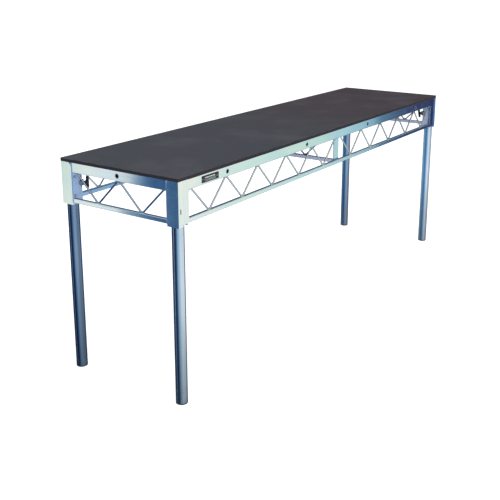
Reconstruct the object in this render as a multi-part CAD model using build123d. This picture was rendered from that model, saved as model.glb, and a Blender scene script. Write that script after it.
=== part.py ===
from build123d import *

import math
import os

# Stage riser platform, 8 ft x 2 ft, standing on four 3 ft legs.  Units are millimetres.
# Origin: on the floor, under the middle of the deck.  +X runs along the long side,
# +Y across to the back and +Z up.  "left" is -X and "front" is -Y.

# ---- overall sizes ----
deck_length = 2440.0
deck_width = 610.0
platform_height = 914.0

# ---- deck ----
board_thickness = 12.0
wear_sheet_thickness = 1.2
deck_corner_radius = 4.0
frame_inset = 2.0                 # the frame stands this far inside the deck's edge

# ---- trusses ----
truss_height = 167.8              # from the deck's underside to the bottom of the bottom chord
chord_depth = 18.0
chord_wall = 2.0
chord_edge_radius = 2.5
top_chord_height = 42.0
bottom_chord_height = 18.0
rod_diameter = 8.0
rod_bend_radius = 14.0
rod_flat = 1.2                    # how far each bend is pressed flat where it is welded
long_vees = 5                     # bends of one rod, half of a long side
long_first_top = 84.0             # from the deck's end to the first rod's start
middle_gap = 52.0                 # between the two rods at the middle of a long side
short_vees = 2
short_first_top = 76.0            # from the deck's edge to the rod's start
flange_thickness = 5.0
end_plate_thickness = 3.0
end_plate_fillet = 10.0
middle_plate_width = 48.0
middle_plate_thickness = 3.0

# ---- corner sockets ----
post_thickness = 3.0
post_long_leg = 28.0
post_height = 175.8               # from the deck's underside to the bottom of the socket
post_round = 20.0
socket_thickness = 3.0
socket_top_thickness = 3.0
sight_slot_width = 5.0
sight_slot_length = 20.0
sight_slot_inset = 13.0           # from the post's corner to the middle of the slot
sight_slot_drop = 115.0           # from the deck's underside to the middle of the slot

# ---- legs ----
leg_diameter = 48.3
leg_wall = 3.2
leg_clearance = 0.85              # each side, between the leg and the socket's walls
foot_height = 6.0
foot_chamfer = 2.0
foot_plug_length = 26.0
foot_plug_clearance = 0.1

# ---- leg clamps ----
clamp_drop = 93.0                 # from the deck's underside down to the screw's axis
boss_diameter = 26.0
boss_length = 19.0
boss_gap = 2.85                   # between the leg and the boss
boss_recess_depth = 8.5
pad_diameter = 18.0
pad_thickness = 5.0
pad_gap = 0.3                     # between the pad and the leg
pad_side_clearance = 0.3
swivel_diameter = 8.0
swivel_depth = 2.0
swivel_gap = 0.2
screw_diameter = 12.0
screw_clearance = 0.05
handle_reach = 61.0               # from the leg's axis to the middle of the cross bar
handle_length = 50.0
handle_diameter = 14.0
handle_end_radius = 4.0
hub_diameter = 17.0
hub_length = 9.0
hub_cover = 1.5                   # how much of the bar is left over the screw's end
handle_turns = {"front_left": 0.0, "back_left": 0.0, "front_right": -25.0, "back_right": 12.0}

# ---- fixings ----
link_hole_diameter = 14.0
link_bush_diameter = 18.0
link_spacing = 610.0
flange_screw_diameter = 6.0
flange_screw_hole = 6.4
flange_screw_head = 12.0
flange_screw_head_height = 3.6
flange_screw_drops = (62.0, 138.0)   # from the deck's underside
cleat_leg = 25.0
cleat_thickness = 3.0
cleat_length = 40.0
cleat_long_places = (350.0, 850.0)
cleat_short_place = 110.0
deck_screw_diameter = 4.8
deck_screw_hole = 5.0
deck_screw_head = 10.0
deck_screw_head_height = 3.0
deck_screw_bite = 10.0

# ---- label ----
label_length = 106.0
label_height = 27.0
label_thickness = 1.0
label_place = 194.0               # from the deck's left end to the middle of the label
rivet_diameter = 5.0
rivet_height = 0.7
rivet_inset = 6.0

# ---- levels and planes worked out from the sizes above ----
wear_sheet_bottom = platform_height - wear_sheet_thickness
frame_top = wear_sheet_bottom - board_thickness
top_chord_bottom = frame_top - top_chord_height
truss_bottom = frame_top - truss_height
bottom_chord_top = truss_bottom + bottom_chord_height
post_bottom = frame_top - post_height
clamp_level = frame_top - clamp_drop
leg_top = frame_top - socket_top_thickness

frame_x = deck_length / 2 - frame_inset
frame_y = deck_width / 2 - frame_inset
pocket = leg_diameter + 2 * leg_clearance
pocket_x = frame_x - post_thickness          # the pocket's outer walls
pocket_y = frame_y - post_thickness
leg_x = pocket_x - pocket / 2
leg_y = pocket_y - pocket / 2
post_short_leg = post_thickness + pocket + socket_thickness
socket_x = pocket_x - pocket - socket_thickness    # the socket's inner faces
socket_y = pocket_y - pocket - socket_thickness
long_chord_end = socket_x - flange_thickness
short_chord_end = socket_y - flange_thickness
long_chord_y = frame_y - chord_depth / 2
short_chord_x = pocket_x - chord_depth / 2
inner_y = frame_y - chord_depth              # the long sides' inner faces
inner_x = pocket_x - chord_depth

corners = {
    "front_left": (-1, -1),
    "front_right": (1, -1),
    "back_left": (-1, 1),
    "back_right": (1, 1),
}


# ---- helpers ----
def block(x_low, x_high, y_low, y_high, z_low, z_high):
    """A plain block between two limits on each axis."""
    size = (x_high - x_low, y_high - y_low, z_high - z_low)
    middle = ((x_low + x_high) / 2, (y_low + y_high) / 2, (z_low + z_high) / 2)
    return Pos(*middle) * Box(*size)


def rod_along(start, direction, radius, length):
    """A cylinder that begins at start and runs along direction."""
    return extrude(Plane(origin=start, z_dir=direction) * Circle(radius), length)


def to_corner(shape, side_x, side_y):
    """Moves a shape made for the back right corner to another corner, by mirroring it."""
    if side_x < 0:
        shape = mirror(shape, about=Plane.YZ)
    if side_y < 0:
        shape = mirror(shape, about=Plane.XZ)
    return shape


def at_all_corners(shape):
    return [to_corner(shape, side_x, side_y) for side_x, side_y in corners.values()]


def save(name, shape):
    """Writes one node.  A list of shapes becomes one group of separate solids."""
    solids = shape if isinstance(shape, list) else [shape]
    solids = [solid for item in solids for solid in item.solids()]
    whole = solids[0] if len(solids) == 1 else Compound(children=solids)
    whole.label = name
    export_step(whole, f"parts/{name}.step")


# ---- deck ----
def deck_screw_places():
    """Where each deck screw stands, with the level of the underside its head sits on."""
    places = [(side_x * leg_x, side_y * leg_y, leg_top) for side_x, side_y in corners.values()]
    middle_of_leg = cleat_leg / 2 + cleat_thickness / 2
    cleat_underside = frame_top - cleat_thickness
    for side_x, side_y in corners.values():
        for place in cleat_long_places:
            places.append((side_x * place, side_y * (inner_y - middle_of_leg), cleat_underside))
        inward = inner_x - middle_of_leg
        places.append((side_x * inward, side_y * cleat_short_place, cleat_underside))
    return places


def deck_board():
    board = block(-deck_length / 2, deck_length / 2, -deck_width / 2, deck_width / 2,
                  frame_top, wear_sheet_bottom)
    board = fillet(board.edges().filter_by(Axis.Z), deck_corner_radius)
    for x, y, _ in deck_screw_places():
        board -= rod_along((x, y, frame_top), (0, 0, 1), deck_screw_hole / 2, deck_screw_bite)
    return board


def deck_wear_sheet():
    sheet = block(-deck_length / 2, deck_length / 2, -deck_width / 2, deck_width / 2,
                  wear_sheet_bottom, platform_height)
    return fillet(sheet.edges().filter_by(Axis.Z), deck_corner_radius)


def deck_screws():
    screws = []
    for x, y, underside in deck_screw_places():
        reach = frame_top + deck_screw_bite - underside
        shank = rod_along((x, y, underside), (0, 0, 1), deck_screw_diameter / 2, reach)
        head = rod_along((x, y, underside), (0, 0, -1), deck_screw_head / 2,
                         deck_screw_head_height)
        head = fillet(head.edges().group_by(Axis.Z)[0], deck_screw_head_height * 0.4)
        screws.append(shank + head)
    return screws


def cleat(x, y, inward):
    """A short angle under the deck.  inward points from the chord towards the middle."""
    upright = Box(cleat_length, cleat_thickness, cleat_leg)
    upright = Pos(0, cleat_thickness / 2, -cleat_leg / 2) * upright
    shelf = Box(cleat_length, cleat_leg, cleat_thickness)
    shelf = Pos(0, cleat_leg / 2, -cleat_thickness / 2) * shelf
    middle_of_leg = cleat_leg / 2 + cleat_thickness / 2
    hole = rod_along((0, middle_of_leg, -cleat_thickness), (0, 0, 1), deck_screw_hole / 2,
                     cleat_thickness)
    turn = math.degrees(math.atan2(inward[1], inward[0])) - 90
    return Pos(x, y, frame_top) * Rot(0, 0, turn) * (upright + shelf - hole)


def deck_cleats():
    cleats = []
    for side_x, side_y in corners.values():
        for place in cleat_long_places:
            cleats.append(cleat(side_x * place, side_y * inner_y, (0, -side_y)))
        cleats.append(cleat(side_x * inner_x, side_y * cleat_short_place, (-side_x, 0)))
    return cleats


# ---- trusses ----
def chord(length, height):
    """A rectangular tube along X, with its top face at z = 0 and its middle at y = 0."""
    outline = RectangleRounded(chord_depth, height, chord_edge_radius)
    inner_radius = max(chord_edge_radius - chord_wall, 0.3)
    bore = RectangleRounded(chord_depth - 2 * chord_wall, height - 2 * chord_wall, inner_radius)
    section = Plane.YZ * (outline - bore)
    tube = extrude(section, length / 2, both=True)
    return Pos(0, 0, -height / 2) * tube


def link_holes(tube, places):
    """Cuts the holes for the linking bushes through a chord made by chord()."""
    for place in places:
        start = (place, -chord_depth / 2 - 1, -top_chord_height / 2)
        tube -= rod_along(start, (0, 1, 0), link_bush_diameter / 2, chord_depth + 2)
    return tube


def zigzag(first, pitch, vees):
    """A bent round rod along X, welded between the chords.  It starts and ends at the top."""
    rod_radius = rod_diameter / 2
    clear = top_chord_bottom - bottom_chord_top
    rise = clear
    for _ in range(6):
        slope = math.atan2(rise, pitch / 2)
        past_bend = rod_bend_radius * (1 / math.cos(slope) - 1)
        overshoot = past_bend - rod_radius + rod_flat
        rise = clear + 2 * overshoot
    high = top_chord_bottom + overshoot
    low = bottom_chord_top - overshoot
    points = []
    for step in range(2 * vees + 1):
        points.append((first + step * pitch / 2, 0, low if step % 2 else high))
    path = FilletPolyline(*points, radius=rod_bend_radius)
    start = Vector(*points[0])
    direction = Vector(*points[1]) - start
    rod = sweep(Plane(origin=start, z_dir=direction) * Circle(rod_radius), path=path)
    ends = pitch
    return rod & block(points[0][0] - ends, points[-1][0] + ends, -rod_diameter, rod_diameter,
                       bottom_chord_top, top_chord_bottom)


def long_link_places():
    return [(index - 1.5) * link_spacing for index in range(4)]


def long_top_chord(side_y):
    tube = link_holes(chord(2 * long_chord_end, top_chord_height), long_link_places())
    return Pos(0, side_y * long_chord_y, frame_top) * tube


def long_bottom_chord(side_y):
    tube = chord(2 * long_chord_end, bottom_chord_height)
    return Pos(0, side_y * long_chord_y, bottom_chord_top) * tube


def long_lattice(side_x, side_y):
    first = deck_length / 2 - long_first_top
    pitch = (first - middle_gap / 2) / long_vees
    rod = Pos(0, side_y * long_chord_y, 0) * zigzag(middle_gap / 2, pitch, long_vees)
    return rod if side_x > 0 else mirror(rod, about=Plane.YZ)


def short_place(x):
    """Turns a piece made along X so that it runs along Y at the given x."""
    return Pos(x, 0, 0) * Rot(0, 0, 90)


def short_top_chord(side_x):
    tube = link_holes(chord(2 * short_chord_end, top_chord_height), [0.0])
    return Pos(0, 0, frame_top) * short_place(side_x * short_chord_x) * tube


def short_bottom_chord(side_x):
    tube = chord(2 * short_chord_end, bottom_chord_height)
    return Pos(0, 0, bottom_chord_top) * short_place(side_x * short_chord_x) * tube


def cross_top_chord():
    return Pos(0, 0, frame_top) * short_place(0) * chord(2 * inner_y, top_chord_height)


def cross_bottom_chord():
    return Pos(0, 0, bottom_chord_top) * short_place(0) * chord(2 * inner_y, bottom_chord_height)


def short_lattice(x):
    first = deck_width / 2 - short_first_top
    return short_place(x) * zigzag(-first, 2 * first / short_vees, short_vees)


def flange_screw_points():
    """Start point and direction of each screw that holds a truss to a socket, at one corner."""
    points = []
    for drop in flange_screw_drops:
        level = frame_top - drop
        points.append(((long_chord_end, long_chord_y, level), (1, 0, 0)))
        points.append(((short_chord_x, short_chord_end, level), (0, 1, 0)))
    return points


def cut_flange_holes(shape):
    for start, direction in flange_screw_points():
        reach = flange_thickness + socket_thickness
        shape -= rod_along(start, direction, flange_screw_hole / 2, reach)
    return shape


def truss_end_flanges():
    """A flat bar that closes the end of each truss and is screwed to the socket."""
    long_one = block(long_chord_end, socket_x, inner_y, frame_y - end_plate_thickness,
                     truss_bottom, frame_top)
    short_one = block(inner_x, pocket_x, short_chord_end, socket_y, truss_bottom, frame_top)
    return at_all_corners(cut_flange_holes(long_one)) + at_all_corners(cut_flange_holes(short_one))


def flange_screws():
    screws = []
    for start, direction in flange_screw_points():
        back = tuple(-part for part in direction)
        shank = rod_along(start, direction, flange_screw_diameter / 2,
                          flange_thickness + socket_thickness)
        head = rod_along(start, back, flange_screw_head / 2, flange_screw_head_height)
        outer_edge = head.edges().sort_by(lambda edge: Vector(*direction).dot(edge.center()))[0]
        head = fillet(outer_edge, flange_screw_head_height * 0.5)
        screws += at_all_corners(shank + head)
    return screws


def truss_end_plates():
    """The upright plate that fills each long side between its truss and its corner post."""
    plate = block(long_chord_end, frame_x - post_long_leg, frame_y - end_plate_thickness, frame_y,
                  truss_bottom, frame_top)
    gusset = block(long_chord_end - end_plate_fillet, long_chord_end,
                   frame_y - end_plate_thickness, frame_y,
                   top_chord_bottom - end_plate_fillet, top_chord_bottom)
    hollow = (long_chord_end - end_plate_fillet, frame_y - end_plate_thickness,
              top_chord_bottom - end_plate_fillet)
    gusset -= rod_along(hollow, (0, 1, 0), end_plate_fillet, end_plate_thickness)
    return at_all_corners(plate + gusset)


def middle_plates():
    """A flat upright behind the middle of each long side, where the cross truss meets it."""
    plate = block(-middle_plate_width / 2, middle_plate_width / 2,
                  inner_y, inner_y + middle_plate_thickness, bottom_chord_top, top_chord_bottom)
    return [plate, mirror(plate, about=Plane.XZ)]


def linking_bushes():
    level = frame_top - top_chord_height / 2
    ring = Circle(link_bush_diameter / 2) - Circle(link_hole_diameter / 2)
    bushes = []
    for place in long_link_places():
        for side_y in (-1, 1):
            middle = (place, side_y * long_chord_y, level)
            bushes.append(extrude(Plane(origin=middle, z_dir=(0, 1, 0)) * ring,
                                  chord_depth / 2, both=True))
    for side_x in (-1, 1):
        middle = (side_x * short_chord_x, 0, level)
        bushes.append(extrude(Plane(origin=middle, z_dir=(1, 0, 0)) * ring,
                              chord_depth / 2, both=True))
    return bushes


# ---- corner sockets ----
def corner_post():
    """An unequal angle at the deck's corner, wide on the short side and narrow on the long."""
    wide = block(pocket_x, frame_x, frame_y - post_short_leg, frame_y, post_bottom, frame_top)
    rounded = wide.edges().filter_by(Axis.X).sort_by(Axis.Y)[:2].sort_by(Axis.Z)[-1]
    wide = fillet(rounded, post_round)
    narrow = block(frame_x - post_long_leg, frame_x, pocket_y, frame_y, post_bottom, frame_top)
    slot = Plane(origin=(frame_x - sight_slot_inset, pocket_y, frame_top - sight_slot_drop),
                 x_dir=(0, 0, 1), z_dir=(0, 1, 0)) * SlotOverall(sight_slot_length,
                                                                 sight_slot_width)
    return wide + narrow - extrude(slot, post_thickness)


def diagonal():
    """Unit vector from the leg's axis towards the clamp's handle, at the back right corner."""
    half_root = math.sqrt(0.5)
    return Vector(-half_root, -half_root, 0)


def clamp_point(distance):
    """A point on the clamp screw's axis, at a distance from the leg's axis."""
    return Vector(leg_x, leg_y, clamp_level) + diagonal() * distance


def boss_start():
    return leg_diameter / 2 + boss_gap


def socket_angle():
    """The equal angle that closes the leg's pocket, with a hole at its corner for the boss."""
    face_x = block(socket_x, socket_x + socket_thickness, socket_y, pocket_y,
                   post_bottom, frame_top)
    face_y = block(socket_x, pocket_x, socket_y, socket_y + socket_thickness,
                   post_bottom, frame_top)
    angle = cut_flange_holes(face_x + face_y)
    return angle - rod_along(clamp_point(leg_diameter / 2), diagonal(), boss_diameter / 2,
                             boss_gap + boss_length)


def socket_top_plates():
    """The stop that each leg stands against, and that the deck's corner is screwed to."""
    plate = block(pocket_x - pocket, pocket_x, pocket_y - pocket, pocket_y, leg_top, frame_top)
    hole = rod_along((leg_x, leg_y, leg_top), (0, 0, 1), deck_screw_hole / 2,
                     socket_top_thickness)
    return at_all_corners(plate - hole)


# ---- leg clamps ----
def clamp_boss():
    """The threaded boss that is welded into the socket's corner."""
    boss = rod_along(clamp_point(boss_start()), diagonal(), boss_diameter / 2, boss_length)
    boss -= rod_along(clamp_point(boss_start()), diagonal(), screw_diameter / 2 + screw_clearance,
                      boss_length)
    return boss - rod_along(clamp_point(boss_start()), diagonal(),
                            pad_diameter / 2 + pad_side_clearance, boss_recess_depth)


def clamp_pad():
    """The swivel pad on the screw's tip, which presses on the leg."""
    front = leg_diameter / 2 + pad_gap
    back = front + pad_thickness
    pad = rod_along(clamp_point(front), diagonal(), pad_diameter / 2, pad_thickness)
    socket_radius = swivel_diameter / 2 + screw_clearance
    return pad - rod_along(clamp_point(back), diagonal() * -1, socket_radius, swivel_depth)


def clamp_screw():
    shoulder = leg_diameter / 2 + pad_gap + pad_thickness + swivel_gap
    end = handle_reach + handle_diameter / 2 - hub_cover
    shank = rod_along(clamp_point(shoulder), diagonal(), screw_diameter / 2, end - shoulder)
    tip = rod_along(clamp_point(shoulder), diagonal() * -1, swivel_diameter / 2, swivel_depth)
    return shank + tip


def clamp_handle():
    """A moulded T handle on the screw's end, with its bar upright."""
    low = clamp_point(handle_reach) - Vector(0, 0, handle_length / 2)
    bar = rod_along(low, (0, 0, 1), handle_diameter / 2, handle_length)
    bar = fillet(bar.edges().filter_by(GeomType.CIRCLE), handle_end_radius)
    hub = rod_along(clamp_point(handle_reach - hub_length), diagonal(), hub_diameter / 2,
                    hub_length)
    end = handle_reach + handle_diameter / 2 - hub_cover
    bore_start = handle_reach - hub_length
    bore = rod_along(clamp_point(bore_start), diagonal(), screw_diameter / 2, end - bore_start)
    return bar + hub - bore


def turned(shape, degrees):
    """Turns a piece of the clamp about the screw's axis."""
    return shape.rotate(Axis(clamp_point(0), diagonal()), degrees)


# ---- legs ----
def leg():
    ring = Circle(leg_diameter / 2) - Circle(leg_diameter / 2 - leg_wall)
    tube = extrude(Plane(origin=(leg_x, leg_y, foot_height)) * ring, leg_top - foot_height)
    return tube


def leg_foot():
    """A plastic plug, with a flange that the tube stands on."""
    flange = rod_along((leg_x, leg_y, 0), (0, 0, 1), leg_diameter / 2, foot_height)
    flange = chamfer(flange.edges().group_by(Axis.Z)[0], foot_chamfer)
    plug_radius = leg_diameter / 2 - leg_wall - foot_plug_clearance
    plug = rod_along((leg_x, leg_y, foot_height), (0, 0, 1), plug_radius, foot_plug_length)
    return flange + plug


# ---- label ----
def label_plate():
    middle_x = label_place - deck_length / 2
    middle_z = frame_top - top_chord_height / 2
    return block(middle_x - label_length / 2, middle_x + label_length / 2,
                 -frame_y - label_thickness, -frame_y,
                 middle_z - label_height / 2, middle_z + label_height / 2)


def label_rivets():
    middle_x = label_place - deck_length / 2
    middle_z = frame_top - top_chord_height / 2
    rivets = []
    for side in (-1, 1):
        x = middle_x + side * (label_length / 2 - rivet_inset)
        start = (x, -frame_y - label_thickness, middle_z)
        rivets.append(rod_along(start, (0, -1, 0), rivet_diameter / 2, rivet_height))
    return rivets


# ---- build every node ----
os.makedirs("parts", exist_ok=True)

save("deck_board", deck_board())
save("deck_wear_sheet", deck_wear_sheet())
save("deck_cleats", deck_cleats())
save("deck_screws", deck_screws())

for side_name, side in (("front", -1), ("back", 1)):
    save(f"{side_name}_top_chord", long_top_chord(side))
    save(f"{side_name}_bottom_chord", long_bottom_chord(side))
    save(f"{side_name}_lattice_left", long_lattice(-1, side))
    save(f"{side_name}_lattice_right", long_lattice(1, side))
for side_name, side in (("left", -1), ("right", 1)):
    save(f"{side_name}_top_chord", short_top_chord(side))
    save(f"{side_name}_bottom_chord", short_bottom_chord(side))
    save(f"{side_name}_lattice", short_lattice(side * short_chord_x))
save("cross_top_chord", cross_top_chord())
save("cross_bottom_chord", cross_bottom_chord())
save("cross_lattice", short_lattice(0))
save("truss_end_flanges", truss_end_flanges())
save("truss_end_plates", truss_end_plates())
save("middle_plates", middle_plates())
save("flange_screws", flange_screws())
save("linking_bushes", linking_bushes())

save("socket_top_plates", socket_top_plates())
save("clamp_bosses", at_all_corners(clamp_boss()))
for corner, (side_x, side_y) in corners.items():
    save(f"corner_post_{corner}", to_corner(corner_post(), side_x, side_y))
    save(f"socket_angle_{corner}", to_corner(socket_angle(), side_x, side_y))
    save(f"clamp_pad_{corner}", to_corner(clamp_pad(), side_x, side_y))
    save(f"clamp_screw_{corner}", to_corner(clamp_screw(), side_x, side_y))
    handle = turned(clamp_handle(), handle_turns[corner])
    save(f"clamp_handle_{corner}", to_corner(handle, side_x, side_y))
    save(f"leg_{corner}", to_corner(leg(), side_x, side_y))
    save(f"leg_foot_{corner}", to_corner(leg_foot(), side_x, side_y))

save("label_plate", label_plate())
save("label_rivets", label_rivets())
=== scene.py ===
import math

import bmesh
import bpy
import numpy as np
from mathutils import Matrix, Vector


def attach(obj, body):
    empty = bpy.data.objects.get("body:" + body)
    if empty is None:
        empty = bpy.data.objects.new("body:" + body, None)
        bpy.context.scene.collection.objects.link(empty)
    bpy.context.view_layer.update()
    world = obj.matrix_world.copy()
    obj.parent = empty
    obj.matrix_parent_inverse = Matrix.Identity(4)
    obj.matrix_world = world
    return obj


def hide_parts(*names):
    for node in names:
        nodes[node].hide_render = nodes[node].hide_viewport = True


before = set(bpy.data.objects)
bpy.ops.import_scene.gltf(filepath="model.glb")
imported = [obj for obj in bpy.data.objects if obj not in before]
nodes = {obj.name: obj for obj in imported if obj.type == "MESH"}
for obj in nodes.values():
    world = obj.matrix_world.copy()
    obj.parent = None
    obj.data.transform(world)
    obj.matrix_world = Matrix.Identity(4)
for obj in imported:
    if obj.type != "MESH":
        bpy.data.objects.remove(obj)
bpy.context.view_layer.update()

merge_distance = 1e-7               # points closer than this become one
corners = {
    "front_left": (-1, -1),
    "front_right": (1, -1),
    "back_left": (-1, 1),
    "back_right": (1, 1),
}


# ---------------------------------------------------------------- colours

def srgb(text):
    """A linear colour from a six-digit hexadecimal one."""
    values = [int(text[i:i + 2], 16) / 255 for i in (0, 2, 4)]
    return tuple(v / 12.92 if v < 0.04045 else ((v + 0.055) / 1.055) ** 2.4 for v in values) + (1,)


# ---------------------------------------------------------------- material building

class NodeTree:
    """Short ways to add and join a node tree's nodes."""

    def __init__(self, tree):
        self.tree = tree
        self.tree.nodes.clear()

    def node(self, kind, **settings):
        made = self.tree.nodes.new(kind)
        for key, value in settings.items():
            setattr(made, key, value)
        return made

    def join(self, output, socket):
        self.tree.links.new(output, socket)

    def feed(self, socket, value):
        """Joins value to a socket if it is another node's output, or sets it if it is a number."""
        if isinstance(value, bpy.types.NodeSocket):
            self.join(value, socket)
        else:
            socket.default_value = value

    def part_of(self, vector, which):
        """One of a vector's three parts: 0 is x, 1 is y and 2 is z."""
        split = self.node("ShaderNodeSeparateXYZ")
        self.join(vector, split.inputs["Vector"])
        return split.outputs[which]

    def ramp(self, value, stops):
        """A colour band: stops are (place from 0 to 1, linear colour or grey level)."""
        made = self.node("ShaderNodeValToRGB")
        self.feed(made.inputs["Fac"], value)
        band = made.color_ramp
        while len(band.elements) < len(stops):
            band.elements.new(0.5)
        for element, (where, colour) in zip(band.elements, stops):
            element.position = where
            element.color = colour if isinstance(colour, tuple) else (colour,) * 3 + (1,)
        return made.outputs["Color"]

    def math(self, operation, first, second=0.0):
        made = self.node("ShaderNodeMath", operation=operation)
        self.feed(made.inputs[0], first)
        self.feed(made.inputs[1], second)
        return made.outputs["Value"]

    def fit(self, value, low, high, new_low=0.0, new_high=1.0):
        """value carried from the range low to high into new_low to new_high, and held there."""
        made = self.node("ShaderNodeMapRange")
        for socket, item in zip(made.inputs, (value, low, high, new_low, new_high)):
            self.feed(socket, item)
        return made.outputs["Result"]

    def mix(self, share, first, second, blend="MIX"):
        made = self.node("ShaderNodeMix", data_type="RGBA", blend_type=blend)
        self.feed(made.inputs[0], share)
        self.feed(made.inputs[6], first)
        self.feed(made.inputs[7], second)
        return made.outputs[2]

    def tinted(self, base, tint):
        return self.mix(1.0, base, tint, "MULTIPLY")


class Finish(NodeTree):
    """A material, and the patterns that its colour and relief are made of."""

    def __init__(self, name):
        self.material = bpy.data.materials.new(name)
        self.material.use_nodes = True
        super().__init__(self.material.node_tree)
        self.shader = self.node("ShaderNodeBsdfPrincipled")
        self.output = self.node("ShaderNodeOutputMaterial")
        self.join(self.shader.outputs["BSDF"], self.output.inputs["Surface"])
        self.place = self.node("ShaderNodeTexCoord").outputs["Object"]

    def scaled(self, scale):
        mapping = self.node("ShaderNodeMapping")
        self.join(self.place, mapping.inputs["Vector"])
        mapping.inputs["Scale"].default_value = scale
        return mapping.outputs["Vector"]

    def noise(self, scale, detail=3.0, vector=None):
        made = self.node("ShaderNodeTexNoise")
        self.join(vector or self.place, made.inputs["Vector"])
        made.inputs["Scale"].default_value = scale
        made.inputs["Detail"].default_value = detail
        return made.outputs["Fac"]

    def cells(self, scale, output="Distance"):
        made = self.node("ShaderNodeTexVoronoi")
        self.join(self.place, made.inputs["Vector"])
        made.inputs["Scale"].default_value = scale
        return made.outputs[output]

    def axis(self, which):
        """Where the surface lies along an axis, in metres."""
        return self.part_of(self.place, which)

    def facing(self, which):
        """How squarely the surface faces along an axis, from -1 to 1."""
        return self.part_of(self.node("ShaderNodeTexCoord").outputs["Normal"], which)

    def bump(self, height, distance, strength=1.0, below=None):
        made = self.node("ShaderNodeBump")
        made.inputs["Distance"].default_value = distance
        made.inputs["Strength"].default_value = strength
        self.join(height, made.inputs["Height"])
        if below is not None:
            self.join(below, made.inputs["Normal"])
        return made.outputs["Normal"]

    def set(self, **sockets):
        names = {"colour": "Base Color", "rough": "Roughness", "metal": "Metallic",
                 "normal": "Normal", "specular": "Specular IOR Level"}
        for key, value in sockets.items():
            self.feed(self.shader.inputs[names[key]], value)
        return self.material


# ---------------------------------------------------------------- sizes, in metres
# Origin on the floor under the deck's middle; +X along the deck, +Y to the back, +Z up.

deck_length = 2.440
deck_width = 0.610
deck_top = 0.914
sheet_thickness = 0.0012
sheet_rim_radius = 0.00045
deck_corner_radius = 0.004

frame_x = 1.218                   # outer faces of the corner posts
frame_y = 0.303
frame_top = 0.9008
top_chord_bottom = 0.8588
bottom_chord_top = 0.7510
truss_bottom = 0.7330
chord_depth = 0.018
long_chord_y = frame_y - chord_depth / 2
pocket_x = 1.215
short_chord_x = pocket_x - chord_depth / 2
socket_x = 1.162
socket_y = 0.247
flange_thickness = 0.005
long_chord_end = socket_x - flange_thickness
short_chord_end = socket_y - flange_thickness

rod_radius = 0.004
rod_bend_radius = 0.014
rod_flat = 0.0012                 # how much each bend is pressed flat on its chord
long_vees = 5
long_first_top = 1.136
middle_gap = 0.052
short_vees = 2
short_first_top = 0.229
oval_weld_half_length = 0.0105
oval_weld_half_width = 0.0050
oval_weld_radius = 0.0019
corner_bead_radius = 0.0017
middle_bead_radius = 0.0016
bead_inset = 0.002                # of a bead's ends from the ends of its seam
middle_plate_half = 0.009

link_spacing = 0.610
link_level = frame_top - 0.021
bush_radius = 0.009
bush_flange_radius = bush_radius + 0.0016
bush_hole_radius = 0.007

leg_x = 1.190
leg_y = 0.275
leg_radius = 0.02415
leg_wall = 0.0032
tube_rim_radius = 0.0006
leg_top = 0.8978
foot_height = 0.006
foot_plug_length = 0.026

clamp_level = 0.8078
pad_start = leg_radius + 0.0003
pad_thickness = 0.005
pad_radius = 0.009
pad_rounding = ((0.0012, 0.0), (0.0003, 0.0004), (0.0, 0.0012))   # drawn in, height
boss_start = leg_radius + 0.00285
boss_length = 0.019
boss_radius = 0.013
boss_recess = 0.0085
screw_radius = 0.006
screw_tip_radius = 0.004
screw_start = pad_start + pad_thickness + 0.0002
screw_tip_length = 0.002
thread_lead = 0.002
handle_reach = 0.061
handle_radius = 0.007
handle_half_length = 0.025
hub_radius = 0.0085
hub_length = 0.009
handle_turns = {"front_left": 0.0, "back_left": 0.0, "front_right": -25.0, "back_right": 12.0}

flange_screw_drops = (0.062, 0.138)
flange_screw_radius = 0.003
flange_screw_length = 0.0079
flange_head_radius = 0.006
flange_head_height = 0.0036
flange_socket_radius = 0.0028

label_middle = (-1.026, frame_top - 0.021)
label_length = 0.106
label_height = 0.027
label_face = 0.0008
label_blocks = (                  # place along the label, length
    (-0.029, 0.008), (-0.017, 0.012), (-0.005, 0.008), (0.007, 0.012), (0.022, 0.014))
label_block_level = 0.0045
label_block_height = 0.0042
label_rules = (                   # level, length, height
    (-0.0025, 0.078, 0.0008), (-0.0055, 0.058, 0.0008), (-0.0085, 0.070, 0.0007))

leg_travel = 0.150
floor_drop = leg_travel + 0.010
floor_reach = 60.0                # from its middle to its sides


# ---------------------------------------------------------------- mesh building


def ring_faces(rows, columns, close_rows, close_columns):
    """Corner numbers of the four-sided faces of a grid of points, as an array of rows of four."""
    row = np.arange(rows if close_rows else rows - 1)
    column = np.arange(columns if close_columns else columns - 1)
    r, c = np.meshgrid(row, column, indexing="ij")
    r2, c2 = (r + 1) % rows, (c + 1) % columns
    here, above = r * columns, r2 * columns
    return np.stack([here + c, here + c2, above + c2, above + c], axis=-1).reshape(-1, 4)


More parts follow.
